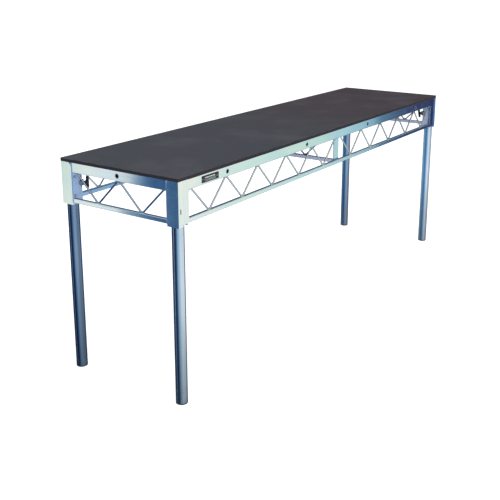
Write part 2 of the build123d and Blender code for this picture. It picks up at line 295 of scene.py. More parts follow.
def piece(name, grids, finish, body, stands_for=(), sharp=35.0, second=None):
    """One object made of several grids of points.

    grids holds (points, close_rows, close_columns) and, where some rows have the second finish,
    a list of their numbers as a fourth item.
    """
    points, faces, marks, start = [], [], [], 0
    for grid, close_rows, close_columns, *marked in grids:
        rows, columns = grid.shape[:2]
        quads = ring_faces(rows, columns, close_rows, close_columns)
        points.append(grid.reshape(-1, 3))
        faces.append(quads + start)
        chosen = np.zeros(len(quads), dtype=np.int32)
        if marked:
            chosen[np.isin(quads[:, 0] // columns, marked[0])] = 1
        marks.append(chosen)
        start += rows * columns
    mesh = bpy.data.meshes.new(name)
    mesh.from_pydata(np.concatenate(points), [], np.concatenate(faces).tolist())
    mesh.materials.append(finish)
    if second:
        mesh.materials.append(second)
        mesh.polygons.foreach_set("material_index", np.concatenate(marks))
    tidy = bmesh.new()
    tidy.from_mesh(mesh)
    bmesh.ops.remove_doubles(tidy, verts=tidy.verts, dist=merge_distance)
    bmesh.ops.recalc_face_normals(tidy, faces=tidy.faces)
    tidy.to_mesh(mesh)
    tidy.free()
    mesh.shade_smooth()
    mesh.set_sharp_from_angle(angle=math.radians(sharp))
    made = bpy.data.objects.new(name, mesh)
    bpy.context.scene.collection.objects.link(made)
    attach(made, body)
    if stands_for:
        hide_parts(*stands_for)
    return made


def across(direction):
    """A direction's unit vector, and two more that are square to it and to each other."""
    along = np.array(direction, dtype=float)
    along /= np.linalg.norm(along)
    helper = np.array((0.0, 0.0, 1.0)) if abs(along[2]) < 0.9 else np.array((1.0, 0.0, 0.0))
    first = np.cross(helper, along)
    first /= np.linalg.norm(first)
    return along, first, np.cross(along, first)


def lathe(profile, start, direction, sides, shape=None):
    """A grid of points made by turning a profile round an axis.

    profile is a list of (radius, distance along the axis).  At angle a the point is start +
    distance * axis + radius * shape(a) * (cos a * first + sin a * second), where first and second
    are square to the axis, and shape is 1 for every row unless it is given as a function of
    (angles, radii, distances) that returns a factor.
    """
    along, first, second = across(direction)
    radius, distance = np.array(profile, dtype=float).T[:, :, None]
    angle = np.linspace(0, 2 * np.pi, sides, endpoint=False)[None, :]
    factor = 1.0 if shape is None else shape(angle, radius, distance)
    reach = radius * factor * np.ones_like(angle)
    spoke = np.cos(angle)[..., None] * first + np.sin(angle)[..., None] * second
    return np.array(start) + distance[..., None] * along + reach[..., None] * spoke


def carried(path, radius, square, sides, closed=False):
    """A grid of points made by carrying a circle along a path that lies in a plane.

    path is an array of points, square the unit vector square to its plane, and radius one
    number or one for each point.  Each circle stands square to the path.  The ends of an open
    path are closed with a flat cap.
    """
    path = np.array(path, dtype=float)
    if closed:
        heading = np.roll(path, -1, axis=0) - np.roll(path, 1, axis=0)
    else:
        heading = np.gradient(path, axis=0)
    heading /= np.linalg.norm(heading, axis=1)[:, None]
    square = np.array(square, dtype=float)
    side = np.cross(square, heading)
    angle = np.linspace(0, 2 * np.pi, sides, endpoint=False)[None, :, None]
    radius = np.broadcast_to(radius, len(path))[:, None, None]
    rings = path[:, None, :] + radius * (np.cos(angle) * side[:, None, :] + np.sin(angle) * square)
    if closed:
        return rings
    first = np.broadcast_to(path[0], rings[:1].shape)
    last = np.broadcast_to(path[-1], rings[:1].shape)
    return np.concatenate([first, rings, last])


def rounded_rectangle(length, width, radius, steps=6):
    """Points round a rectangle with rounded corners, anticlockwise, centred on 0."""
    turn = np.linspace(0, np.pi / 2, steps + 1)
    parts = []
    for quarter, (sx, sy) in enumerate(((1, 1), (-1, 1), (-1, -1), (1, -1))):
        middle = np.array((sx * (length / 2 - radius), sy * (width / 2 - radius)))
        angle = turn + quarter * np.pi / 2
        parts.append(middle + radius * np.stack([np.cos(angle), np.sin(angle)], axis=1))
    return np.concatenate(parts)


def slab(length, width, corner, thickness, rim, place, steps=3):
    """A grid for a flat plate with rounded corners and a rounded rim.

    Each row is the rounded rectangle drawn in by an inset, at a height: a quarter circle of
    radius rim at the bottom and another at the top, then one row well inside on each flat, and
    each flat's middle.  place turns (x, y, height) into a point.
    """
    turn = np.linspace(0, np.pi / 2, steps + 1)
    quarter = [(rim * (1 - math.sin(t)), rim * (1 - math.cos(t))) for t in turn]
    rows = quarter + [(inset, thickness - height) for inset, height in reversed(quarter)]
    well_inside = min(length, width) * 0.3
    rows = [(well_inside, rows[0][1])] + rows + [(well_inside, rows[-1][1])]
    smallest_corner = 0.0002
    grid = []
    for inset, height in rows:
        radius = max(corner - inset, smallest_corner)
        outline = rounded_rectangle(length - 2 * inset, width - 2 * inset, radius)
        grid.append(np.column_stack([outline, np.full(len(outline), height)]))
    grid = np.array(grid)
    centre_low = np.zeros_like(grid[:1])
    centre_low[..., 0] = grid[0, :, 0]
    centre_low[..., 2] = grid[0, 0, 2]
    centre_high = centre_low.copy()
    centre_high[..., 2] = grid[-1, 0, 2]
    grid = np.concatenate([centre_low, grid, centre_high])
    return place(grid)


def bead(start, end, radius):
    """A short weld bead: a round run from start to end whose radius rises and falls in ripples
    along its length and closes to a point at both ends."""
    ripple, ripple_length, steps_each = 0.12, 0.0022, 6
    start, end = np.array(start, dtype=float), np.array(end, dtype=float)
    length = np.linalg.norm(end - start)
    count = max(8, int(length / ripple_length * steps_each))
    share = np.linspace(0, 1, count)
    ends = np.sqrt(np.clip(1 - np.abs(2 * share - 1) ** (length / radius), 0.0, 1.0))
    wave = 1 + ripple * np.sin(2 * np.pi * share * length / ripple_length)
    _, first, _ = across(end - start)
    path = start + share[:, None] * (end - start)
    return carried(path, radius * ends * wave, first, sides=10), False, True


def weld_ring(centre, half_length, half_width, along, sideways, radius, ripples=16):
    """A closed weld bead round an oval: the path is centre + half_length * cos a * along +
    half_width * sin a * sideways, and the bead's radius swells in even ripples as a goes round."""
    angle = np.linspace(0, 2 * np.pi, ripples * 5, endpoint=False)
    along, sideways = np.array(along, dtype=float), np.array(sideways, dtype=float)
    path = np.array(centre) + (half_length * np.cos(angle)[:, None] * along
                               + half_width * np.sin(angle)[:, None] * sideways)
    swell = 0.10
    width = radius * (1 + swell * np.cos(ripples * angle))
    return carried(path, width, np.cross(along, sideways), sides=8, closed=True), True, True


# ---------------------------------------------------------------- finishes

def edge_share(finish):
    """1 where the surface turns away from all three axes, as it does on a rounded edge."""
    sizes = [finish.math("ABSOLUTE", finish.facing(which)) for which in range(3)]
    largest = finish.math("MAXIMUM", finish.math("MAXIMUM", sizes[0], sizes[1]), sizes[2])
    return finish.fit(largest, 0.99, 0.85)


def long_face_painted_reflection(f):
    """Painted reflection on faces that look to the front or back, from the deck's left end to
    its right: white, pale mint, pale blue, then deep blue and violet."""
    share = f.fit(f.axis(0), -frame_x, frame_x)
    return f.ramp(share, [
        (0.0, srgb("ffffff")), (0.10, srgb("fdfdf8")), (0.20, srgb("f6fbf7")),
        (0.45, srgb("eef9f7")), (0.65, srgb("e6f5fa")), (0.695, srgb("4f90b4")),
        (0.77, srgb("54749e")), (0.85, srgb("6a5f92")), (1.0, srgb("66639a"))])


def side_face_painted_reflection(f):
    """Painted reflection on faces that look to the left or right, from the front to the back:
    steel blue, pale blue, white and last pale mint.  Low down the blue reaches further back."""
    share = f.math("ADD", f.fit(f.axis(1), -frame_y, frame_y),
                   f.fit(f.axis(2), truss_bottom, frame_top, -0.16, 0.0))
    return f.ramp(share, [
        (0.0, srgb("86aecb")), (0.24, srgb("6da4cc")), (0.31, srgb("b4cbe2")),
        (0.37, srgb("f4f8fc")), (0.50, srgb("ffffff")), (0.80, srgb("fdfdf8")),
        (1.0, srgb("d2eae8"))])


def zinc(name, warm="f4f5ef", cool="e6eff4", rough=0.09, drawn=(4, 260, 260), tint=0.6,
         shine=1.0):
    """Bright passivated zinc plating: a cloudy warm and cool tint, a painted reflection that
    changes along the frame and with the way each face looks, fine crystals, drawn grain along
    one axis, a painted highlight that makes rounded edges paler, and duller tops with a blue
    painted reflection of the deck's underside.

    drawn gives the grain's fineness along x, y and z, tint the share of the painted reflection,
    and shine how metallic the plating looks.
    """
    f = Finish(name)
    cloud = f.noise(5.0, 2.0)
    base = f.mix(f.fit(cloud, 0.35, 0.65), srgb(warm), srgb(cool))
    # painted reflection: the front-and-back ramp or the side ramp, chosen by which way the face
    # looks
    sideways = f.fit(f.math("ABSOLUTE", f.facing(0)), 0.6, 0.8)
    painted_reflection_tint = f.mix(sideways, long_face_painted_reflection(f), side_face_painted_reflection(f))
    base = f.mix(tint, base, f.tinted(base, painted_reflection_tint))
    crystals = f.cells(210.0, output="Color")
    base = f.mix(0.05, base, crystals, "SOFT_LIGHT")
    grain = f.noise(1.0, 4.0, f.scaled(drawn))
    base = f.mix(f.fit(grain, 0.42, 0.75, 0.0, 0.10), base, srgb("8b97a3"))
    # painted highlight: rounded edges are made paler
    base = f.mix(f.math("MULTIPLY", edge_share(f), 0.35), base, srgb("fbfbf6"))
    # painted reflection of the deck's dark underside: faces that look up turn blue; they are also
    # rougher and less metallic
    upward = f.fit(f.facing(2), 0.75, 0.95)
    base = f.mix(f.math("MULTIPLY", upward, 0.9), base, srgb("4f7ba8"))
    smear = f.noise(14.0, 3.0)
    roughness = f.fit(smear, 0.3, 0.75, rough, rough + 0.05)
    roughness = f.math("ADD", roughness, f.fit(grain, 0.3, 0.7, -0.01, 0.02))
    roughness = f.math("ADD", roughness, f.math("MULTIPLY", upward, 0.3))
    normal = f.bump(grain, 0.00002, 0.25)
    normal = f.bump(crystals, 0.00001, 0.15, normal)
    metal = f.fit(upward, 0.0, 1.0, shine, 0.45)
    return f.set(colour=base, metal=metal, rough=roughness, normal=normal)


def leg_steel():
    """Drawn steel tube: blue-grey, softly shining, with painted shade that darkens it towards the
    floor, lines along its length, a scuffed band where the clamp bears and a dull patch at its
    foot.  Its left side has a painted dark reflection, blue on the right-hand legs.  The back
    legs, and the fronts of all legs but the front left one, have painted shade, and the
    right-hand legs shine less."""
    f = Finish("drawn_tube")
    height = f.axis(2)
    base = f.mix(f.fit(f.noise(3.0, 2.0), 0.35, 0.65), srgb("dbe3ee"), srgb("cdd9e8"))
    # painted shade: the tube darkens towards the floor
    low = f.ramp(f.fit(height, 0.0, 0.5), [(0.0, 0.42), (0.35, 0.60), (0.75, 0.90), (1.0, 1.0)])
    base = f.tinted(base, low)
    # painted shade: the back legs are darker
    behind = f.fit(f.axis(1), 0.0, 0.1)
    base = f.mix(behind, base, f.tinted(base, srgb("bcc8d8")))
    right_end = f.fit(f.axis(0), 0.0, 0.1)
    # painted reflection: the left side is darkened, and tinted blue on the right-hand legs
    left_side = f.fit(f.facing(0), -0.84, -0.98)
    left_side_painted_reflection = f.mix(right_end, srgb("a6b0c2"), srgb("6cb4e2"))
    base = f.mix(left_side, base, f.tinted(base, left_side_painted_reflection))
    # painted shade: the fronts of the back legs and of the right-hand legs are darker
    front_side = f.math("MULTIPLY", f.fit(f.facing(1), -0.72, -0.98),
                        f.math("MAXIMUM", behind, right_end))
    base = f.mix(front_side, base, f.tinted(base, srgb("a0adbc")))
    lines = f.noise(1.0, 3.0, f.scaled((420, 420, 3)))
    base = f.mix(f.fit(lines, 0.45, 0.8, 0.0, 0.25), base, srgb("9aabc0"))
    scuffs = f.noise(1.0, 5.0, f.scaled((60, 60, 700)))
    band = f.ramp(f.fit(height, 0.60, 0.90), [(0.0, 0.0), (0.30, 0.0), (0.45, 0.7), (1.0, 1.0)])
    worn = f.math("MULTIPLY", band, f.fit(scuffs, 0.55, 0.66))
    base = f.mix(f.math("MULTIPLY", worn, 0.5), base, srgb("eef2f4"))
    dull = f.math("MULTIPLY", f.fit(height, 0.10, 0.0), f.fit(f.noise(55.0, 4.0), 0.4, 0.7))
    base = f.mix(f.math("MULTIPLY", dull, 0.6), base, srgb("6f7a86"))
    roughness = f.math("ADD", f.fit(lines, 0.3, 0.7, 0.19, 0.24), f.math("MULTIPLY", dull, 0.2))
    normal = f.bump(lines, 0.00004, 0.4)
    normal = f.bump(scuffs, 0.00002, 0.2, normal)
    metal = f.math("SUBTRACT", 1.0, f.math("MULTIPLY", right_end, 0.45))
    return f.set(colour=base, metal=metal, rough=roughness, normal=normal)


def weld_metal():
    """Weld bead under the plating: paler, lumpier and less glossy than the bar around it."""
    f = Finish("weld_metal")
    lumps = f.noise(420.0, 4.0)
    base = f.mix(f.fit(lumps, 0.3, 0.7), srgb("dfe4e2"), srgb("fafaf6"))
    pits = f.cells(900.0)
    base = f.mix(f.fit(pits, 0.12, 0.02, 0.0, 0.4), base, srgb("7c8790"))
    normal = f.bump(lumps, 0.0003, 0.7)
    return f.set(colour=base, metal=1.0, rough=f.fit(lumps, 0.3, 0.7, 0.26, 0.42), normal=normal)


def deck_sheet_finish():
    """Dark phenolic wear sheet: slate grey drifting to a warm purple-grey, with a fine pebbled
    texture, faint roller marks along its length, foot scuffs and a paler rim that is partly
    wear from rubbing and partly a painted edge highlight."""
    f = Finish("deck_sheet")
    along = f.fit(f.axis(0), -deck_length / 2, deck_length / 2)
    base = f.ramp(along, [(0.0, srgb("373a40")), (0.35, srgb("36383f")), (0.65, srgb("363136")),
                          (1.0, srgb("34292f"))])
    rollers = f.noise(1.0, 3.0, f.scaled((1.2, 90, 1)))
    base = f.mix(f.fit(rollers, 0.4, 0.7, 0.0, 0.08), base, srgb("484a50"))
    pebble = f.cells(520.0)
    grit = f.noise(900.0, 3.0)
    base = f.mix(f.fit(grit, 0.45, 0.75, 0.0, 0.12), base, srgb("504e55"))
    marks = f.fit(f.noise(4.0, 5.0), 0.50, 0.72)
    base = f.mix(f.math("MULTIPLY", marks, 0.06), base, srgb("77787c"))
    side_x = f.math("ABSOLUTE", f.axis(0))
    side_y = f.math("ABSOLUTE", f.axis(1))
    rim_x = f.fit(side_x, deck_length / 2 - 0.003, deck_length / 2 - 0.0005)
    rim_y = f.fit(side_y, deck_width / 2 - 0.003, deck_width / 2 - 0.0005)
    rim = f.math("MAXIMUM", rim_x, rim_y)
    # paler rim: partly wear from rubbing and partly a painted edge highlight
    rubbed_rim_and_highlight = f.math("MULTIPLY", rim, f.fit(f.noise(30.0, 4.0), 0.40, 0.65))
    base = f.mix(f.math("MULTIPLY", rubbed_rim_and_highlight, 0.45), base, srgb("6c6472"))
    roughness = f.math("ADD", f.fit(grit, 0.3, 0.7, 0.56, 0.68), f.math("MULTIPLY", marks, -0.10))
    normal = f.bump(pebble, 0.00012, 0.35)
    normal = f.bump(rollers, 0.00005, 0.2, normal)
    return f.set(colour=base, rough=roughness, normal=normal, specular=0.05)


def deck_board_finish():
    """Black-stained plywood: thin plies show as bands along its edges, and long grain below."""
    f = Finish("deck_board")
    height = f.axis(2)
    plies = f.math("SINE", f.math("MULTIPLY", height, 2 * math.pi / 0.0028))
    wobble = f.noise(1.0, 4.0, f.scaled((30, 30, 900)))
    edge = f.mix(f.fit(f.math("ADD", plies, wobble), 0.0, 1.2), srgb("1c171c"), srgb("2b2530"))
    grain = f.noise(1.0, 6.0, f.scaled((3, 70, 20)))
    under = f.mix(f.fit(grain, 0.35, 0.7), srgb("2a2729"), srgb("3a3536"))
    downward = f.fit(f.facing(2), -0.4, -0.8)
    base = f.mix(downward, edge, under)
    normal = f.bump(f.math("ADD", plies, wobble), 0.00010, 0.4)
    normal = f.bump(grain, 0.0001, 0.3, normal)
    return f.set(colour=base, rough=f.fit(grain, 0.3, 0.7, 0.50, 0.66), normal=normal,
                 specular=0.3)


def black_plastic(name, tone="141416", pale="26262a", rough=0.34):
    """Moulded black plastic with a fine spark-eroded texture."""
    f = Finish(name)
    texture = f.noise(1400.0, 2.0)
    cloud = f.noise(60.0, 3.0)
    base = f.mix(f.fit(cloud, 0.35, 0.7), srgb(tone), srgb(pale))
    base = f.mix(f.fit(texture, 0.5, 0.8, 0.0, 0.25), base, srgb("3a3a40"))
    roughness = f.fit(cloud, 0.3, 0.7, rough, rough + 0.14)
    return f.set(colour=base, rough=roughness, normal=f.bump(texture, 0.00005, 0.4),
                 specular=0.45)


def steel(name, light, dark, rough):
    """Machined steel with fine tool marks all over, clouded by handling."""
    f = Finish(name)
    cloud = f.noise(90.0, 4.0)
    marks = f.noise(1.0, 3.0, f.scaled((1500, 1500, 1500)))
    base = f.mix(f.fit(cloud, 0.35, 0.7), srgb(light), srgb(dark))
    base = f.mix(f.fit(marks, 0.5, 0.8, 0.0, 0.3), base, srgb("5e666e"))
    return f.set(colour=base, metal=1.0, rough=f.fit(marks, 0.3, 0.7, rough, rough + 0.12),
                 normal=f.bump(marks, 0.00003, 0.3))


def print_finish():
    """Silver-white printing with a slight speckle."""
    f = Finish("label_print")
    speckle = f.noise(2600.0, 3.0)
    base = f.mix(f.fit(speckle, 0.4, 0.75), srgb("c4c8c8"), srgb("8f9696"))
    return f.set(colour=base, rough=f.fit(speckle, 0.3, 0.7, 0.35, 0.5),
                 normal=f.bump(speckle, 0.00002, 0.3))


frame_zinc_x = zinc("frame_zinc_x")
frame_zinc_y = zinc("frame_zinc_y", drawn=(260, 4, 260), rough=0.07, tint=0.8)
# pale lavender base colour: a painted reflection
cross_zinc_painted_reflection = zinc("cross_zinc_painted_reflection", warm="d3d9f2", cool="c6d0ee", drawn=(260, 4, 260), tint=0.0,
                  shine=0.35)
# blue base colour: a painted reflection
back_zinc_painted_reflection = zinc("back_zinc_painted_reflection", warm="9fbbdf", cool="86a9d6", tint=0.3)
plate_zinc = zinc("plate_zinc", drawn=(200, 200, 5))
# blue-lavender base colour: a painted reflection
left_socket_painted_reflection = zinc("left_socket_painted_reflection", warm="9db2dc", cool="7fa0cc", drawn=(200, 200, 5),
                        rough=0.18, tint=0.0, shine=0.6)
# pale blue base colour: a painted reflection
right_socket_painted_reflection = zinc("right_socket_painted_reflection", warm="d0deee", cool="bdd2e8", drawn=(200, 200, 5),
                         rough=0.18, tint=0.0, shine=0.4)
# steel-blue base colour: a painted reflection
far_post_painted_reflection = zinc("far_post_painted_reflection", warm="6290be", cool="5787b6", drawn=(200, 200, 5),
                     tint=0.0, shine=0.5)
rod_zinc = zinc("rod_zinc", warm="c8cccb", cool="b4bfc7", drawn=(120, 120, 120), rough=0.16,
                tint=0.7)
# blue base colour: a painted reflection
end_rod_painted_reflection = zinc("end_rod_painted_reflection", warm="7d9cc6", cool="6b8dbd", drawn=(120, 120, 120),
                    rough=0.16, tint=0.0)
leg_finish = leg_steel()
weld_finish = weld_metal()
sheet_finish = deck_sheet_finish()
board_finish = deck_board_finish()
handle_finish = black_plastic("handle_plastic")
foot_finish = black_plastic("foot_moulding", "24262a", "34373c", 0.45)
label_finish = black_plastic("label_black", "101012", "1c1c20", 0.30)
# near-black steel that paints shade into the bushes' bores
bore_painted_shade = steel("bore_painted_shade_steel", "2b2f34", "17191c", 0.45)
fixing_finish = steel("fixing_steel", "c9cfd4", "9ba4ac", 0.24)
clamp_finish = steel("clamp_metal", "a9b0b8", "79828b", 0.28)
ink_finish = print_finish()


# ---------------------------------------------------------------- finishes on the CAD pieces

def finish_for(node):
    """The finish a CAD piece shows, from its name."""
    if node == "deck_board":
        return board_finish
    if node in ("left_top_chord", "left_bottom_chord"):
        return frame_zinc_y
    if node in ("cross_top_chord", "cross_bottom_chord", "right_top_chord", "right_bottom_chord"):
        return cross_zinc_painted_reflection
    if node == "corner_post_front_right":
        return far_post_painted_reflection
    if node in ("back_top_chord", "back_bottom_chord"):
        return back_zinc_painted_reflection
    if node.endswith("_chord") or node == "deck_cleats":
        return frame_zinc_x
    if node.startswith("socket_angle") and node.endswith("right"):
        return right_socket_painted_reflection
    if node.startswith("socket_") or node == "truss_end_flanges":
        return left_socket_painted_reflection
    if node in ("deck_screws", "flange_screws", "label_rivets"):
        return fixing_finish
    return plate_zinc


for node_name, node_object in nodes.items():
    node_object.data.materials.clear()
    node_object.data.materials.append(finish_for(node_name))


# ---------------------------------------------------------------- deck

def build_deck_sheet():
    lift = np.array((0.0, 0.0, deck_top - sheet_thickness))
    grid = slab(deck_length, deck_width, deck_corner_radius, sheet_thickness, sheet_rim_radius,
                lambda points: points + lift)
    piece("deck_sheet", [(grid, False, True)], sheet_finish, "frame", ["deck_wear_sheet"])


build_deck_sheet()


# ---------------------------------------------------------------- lattice rods and their welds

def bend_points(first, pitch, vees):
    """Corner points (along, height) of the zigzag, as if it had no bend radius.

    They stand past the chords by the length that the bend cuts off, less the rod's radius,
    plus the amount that each bend is pressed flat.
    """
    clear = top_chord_bottom - bottom_chord_top
    rise = clear
    for _ in range(6):
        slope = math.atan2(rise, pitch / 2)
        overshoot = rod_bend_radius * (1 / math.cos(slope) - 1) - rod_radius + rod_flat
        rise = clear + 2 * overshoot
    along = first + np.arange(2 * vees + 1) * pitch / 2
    height = np.where(np.arange(2 * vees + 1) % 2, bottom_chord_top - overshoot,
                      top_chord_bottom + overshoot)
    return np.stack([along, height], axis=1)


def rounded_path(corners_of_path, radius, spacing=0.005, steps=10):
    """Points along a polyline whose corners are replaced by arcs of one radius."""
    corner = np.array(corners_of_path)
    made = [corner[:1]]
    for before, here, after in zip(corner[:-2], corner[1:-1], corner[2:]):
        come = (here - before) / np.linalg.norm(here - before)
        go = (after - here) / np.linalg.norm(after - here)
        turn = math.acos(float(np.clip(come @ go, -1, 1)))
        inward = (go - come) / np.linalg.norm(go - come)
        centre = here + inward * radius / math.cos(turn / 2)
        angle = np.linspace(-turn / 2, turn / 2, steps)[:, None]
        tangent = (come + go) / np.linalg.norm(come + go)
        arc = centre - radius * np.cos(angle) * inward + radius * np.sin(angle) * tangent
        made.append(straight(made[-1][-1], arc[0], spacing))
        made.append(arc)
    made.append(straight(made[-1][-1], corner[-1], spacing))
    made.append(corner[-1:])
    return np.concatenate(made)


def straight(start, end, spacing):
    """Points between start and end, leaving both out, no further apart than spacing."""
    count = max(1, int(np.linalg.norm(end - start) / spacing))
    share = np.linspace(0, 1, count + 2)[1:-1, None]
    return start + share * (end - start)


def zigzag_rod(first, pitch, vees, place, square):
    """The rod's grid, and the points where it is welded.

    A circle is carried along the rounded zigzag, then every point past a chord's face is pressed
    back onto it.  place turns (along, height) rows into points, square is the direction out of
    the truss's plane.
    """
    corner = bend_points(first, pitch, vees)
    path = rounded_path(corner, rod_bend_radius)
    grid = carried(place(path), rod_radius, square, sides=18)
    grid[..., 2] = np.clip(grid[..., 2], bottom_chord_top, top_chord_bottom)
    welds = corner.copy()
    welds[:, 1] = np.clip(welds[:, 1], bottom_chord_top, top_chord_bottom)
    return grid, place(welds)


def along_x(y, side):
    """Places (along, height) rows in the plane at y, outwards to the left or the right."""
    return lambda p: np.stack([side * p[:, 0], np.full(len(p), y), p[:, 1]], axis=1)


def along_y(x):
    """Places (along, height) rows in the plane at x, from the front to the back."""
    return lambda p: np.stack([np.full(len(p), x), p[:, 0], p[:, 1]], axis=1)


def rod_welds(name, places, along, sideways):
    rings = [weld_ring(place, oval_weld_half_length, oval_weld_half_width, along, sideways,
                       oval_weld_radius) for place in places]
    piece(f"rod_welds_{name}", rings, weld_finish, "frame")


def build_lattices():
    along_deck, across_deck = (1, 0, 0), (0, 1, 0)
    pitch = (long_first_top - middle_gap / 2) / long_vees
    for side_name, side_y in (("front", -1), ("back", 1)):
        bends = []
        for half_name, side_x in (("left", -1), ("right", 1)):
            grid, welds = zigzag_rod(middle_gap / 2, pitch, long_vees,
                                     along_x(side_y * long_chord_y, side_x), across_deck)
            piece(f"rod_{side_name}_{half_name}", [(grid, False, True)], rod_zinc, "frame",
                  [f"{side_name}_lattice_{half_name}"])
            bends += list(welds)
        rod_welds(side_name, bends, along_deck, across_deck)
    pitch = 2 * short_first_top / short_vees
    for name, x in (("left", -short_chord_x), ("right", short_chord_x), ("cross", 0.0)):
        grid, welds = zigzag_rod(-short_first_top, pitch, short_vees, along_y(x), along_deck)
        finish = rod_zinc if name == "cross" else end_rod_painted_reflection
        piece(f"rod_{name}", [(grid, False, True)], finish, "frame", [f"{name}_lattice"])
        rod_welds(name, welds, across_deck, along_deck)


build_lattices()


# ---------------------------------------------------------------- straight welds

def at_corners(point):
    """The same point in each of the four corners."""
    return [(sx * point[0], sy * point[1], point[2]) for sx, sy in corners.values()]


def build_frame_welds():
    """Upright beads where the chords meet the sockets, and beads round the middle plates."""
    chord_heights = ((top_chord_bottom, frame_top), (truss_bottom, bottom_chord_top))
    proud = 0.0004
    long_seam = (long_chord_end - proud, frame_y - chord_depth)
    short_seam = (pocket_x - chord_depth, short_chord_end - proud)
    socket_seam = (pocket_x - chord_depth, socket_y + proud)
    seams = [(seam, low, high) for seam in (long_seam, short_seam) for low, high in chord_heights]
    seams.append((socket_seam, truss_bottom, frame_top))
    beads = []
    for (x, y), low, high in seams:
        for start, end in zip(at_corners((x, y, low + bead_inset)),
                              at_corners((x, y, high - bead_inset))):
            beads.append(bead(start, end, corner_bead_radius))
    piece("corner_welds", beads, weld_finish, "frame")

    beads = []
    sunk, half_run = 0.0002, 0.0085
    for sign in (-1, 1):
        y = sign * (frame_y - chord_depth - sunk)
        for level in (top_chord_bottom, bottom_chord_top, truss_bottom):
            beads.append(bead((-half_run, y, level), (half_run, y, level), middle_bead_radius))
        for x in (-middle_plate_half, middle_plate_half):
            for low, high in chord_heights:
                beads.append(bead((x, y, low + bead_inset), (x, y, high - bead_inset),
                                  middle_bead_radius))
    piece("middle_welds", beads, weld_finish, "frame")


build_frame_welds()


# ---------------------------------------------------------------- screws, bushes and label

def ring_profile(inner, outer, low, high, rim, steps=3):
    """Closed profile of a plain ring whose four edges are rounded by rim."""
    turn = np.linspace(0, np.pi / 2, steps + 1)
    profile = []
    middles = ((outer - rim, low + rim), (outer - rim, high - rim),
               (inner + rim, high - rim), (inner + rim, low + rim))
    for quarter, (radius, distance) in enumerate(middles):
        angle = turn + (quarter - 1) * np.pi / 2
        profile += [(radius + rim * math.cos(a), distance + rim * math.sin(a)) for a in angle]
    return profile


def hexagon_socket(largest, above):
    """A shape for lathe: rows nearer the axis than largest and beyond above become hexagonal."""
    def shape(angle, radius, distance):
        sixth = np.pi / 3
        flat = math.cos(sixth / 2) / np.cos(np.mod(angle, sixth) - sixth / 2)
        return np.where((radius <= largest) & (distance > above), flat, 1.0)
    return shape


def build_flange_screws():
    """Screws with domed heads.  The dome's points are shares of the head's radius and height,
    and those of its hexagonal socket are shares of the socket's radius and the head's height."""
    head, high, socket = flange_head_radius, flange_head_height, flange_socket_radius
    dome = ((1.0, 0.0), (1.0, 0.45), (0.97, 0.65), (0.88, 0.85), (0.72, 0.97), (0.60, 1.0))
    profile = [(0.0, -flange_screw_length), (flange_screw_radius, -flange_screw_length),
               (flange_screw_radius, 0.0)]
    profile += [(head * radius, high * height) for radius, height in dome]
    profile += [(socket * 1.05, high), (socket, high * 0.95), (socket, high * 0.40),
                (0.0, high * 0.34)]
    hexagon = hexagon_socket(socket, above=0.001)
    grids = []
    for drop in flange_screw_drops:
        level = frame_top - drop
        for start, direction in (((long_chord_end, long_chord_y, level), (-1, 0, 0)),
                                 ((short_chord_x, short_chord_end, level), (0, -1, 0))):
            for side_x, side_y in corners.values():
                place = (side_x * start[0], side_y * start[1], start[2])
                heading = (side_x * direction[0], side_y * direction[1], 0)
                grids.append((lathe(profile, place, heading, 24, hexagon), False, True))
    piece("flange_screw_set", grids, fixing_finish, "frame", ["flange_screws"], sharp=30)


def build_bushes():
    """Flanged bushes: each bore has a dark finish that paints shade into it, its lips are bright.
    The profile is one half, from the bore out and back under the flange, and its mirror image."""
    half = chord_depth / 2
    lip, chamfer = 0.0004, 0.0006
    one_half = [(bush_hole_radius, half - chamfer), (bush_hole_radius + chamfer, half + lip),
                (bush_flange_radius - 0.0004, half + lip), (bush_flange_radius, half + 0.0001),
                (bush_flange_radius, half), (bush_radius, half)]
    profile = [(radius, -distance) for radius, distance in one_half] + one_half[::-1]
    bore_row = len(profile) - 1
    grids = []
    for index in range(4):
        for side_y in (-1, 1):
            place = ((index - 1.5) * link_spacing, side_y * long_chord_y, link_level)
            grids.append((lathe(profile, place, (0, 1, 0), 32), True, True, [bore_row]))
    for side_x in (-1, 1):
        place = (side_x * short_chord_x, 0.0, link_level)
        grids.append((lathe(profile, place, (1, 0, 0), 32), True, True, [bore_row]))
    piece("bush_set", grids, fixing_finish, "frame", ["linking_bushes"], second=bore_painted_shade)


def on_front(x, z, depth):
    """Stands a flat slab up against the front: its own x runs along X, y up, height outwards."""
    def place(grid):
        along, up, out = grid[..., 0], grid[..., 1], grid[..., 2]
        return np.stack([x + along, -frame_y - depth - out, z + up], axis=-1)
    return place


def build_label():
    """A black plate with light blocks and rules that spell nothing, and a rivet at each end."""
    x, z = label_middle
    plate = slab(label_length, label_height, 0.0022, label_face, 0.0003, on_front(x, z, 0.0))
    piece("label_plate_black", [(plate, False, True)], label_finish, "frame", ["label_plate"])
    blocks = [(place, label_block_level, length, label_block_height)
              for place, length in label_blocks]
    rules = [(0.0, level, length, height) for level, length, height in label_rules]
    thickness, rim, sunk = 0.00012, 0.00004, 0.00002
    bars = []
    for bar_x, bar_z, length, height in blocks + rules:
        corner = min(0.0008, height * 0.45)
        place = on_front(x + bar_x, z + bar_z, label_face - sunk)
        bars.append((slab(length, height, corner, thickness, rim, place), False, True))
    piece("label_bars", bars, ink_finish, "frame")
    dome = [(0.0, 0.0), (0.0025, 0.0), (0.0025, 0.0002), (0.0022, 0.0006), (0.0015, 0.0008),
            (0.0007, 0.0009), (0.0, 0.00092)]
    rivets = []
    for side in (-1, 1):
        place = (x + side * (label_length / 2 - 0.006), -frame_y - label_face + 0.0002, z)
        rivets.append((lathe(dome, place, (0, -1, 0), 20), False, True))
    piece("label_rivet_heads", rivets, fixing_finish, "frame", ["label_rivets"], sharp=50)


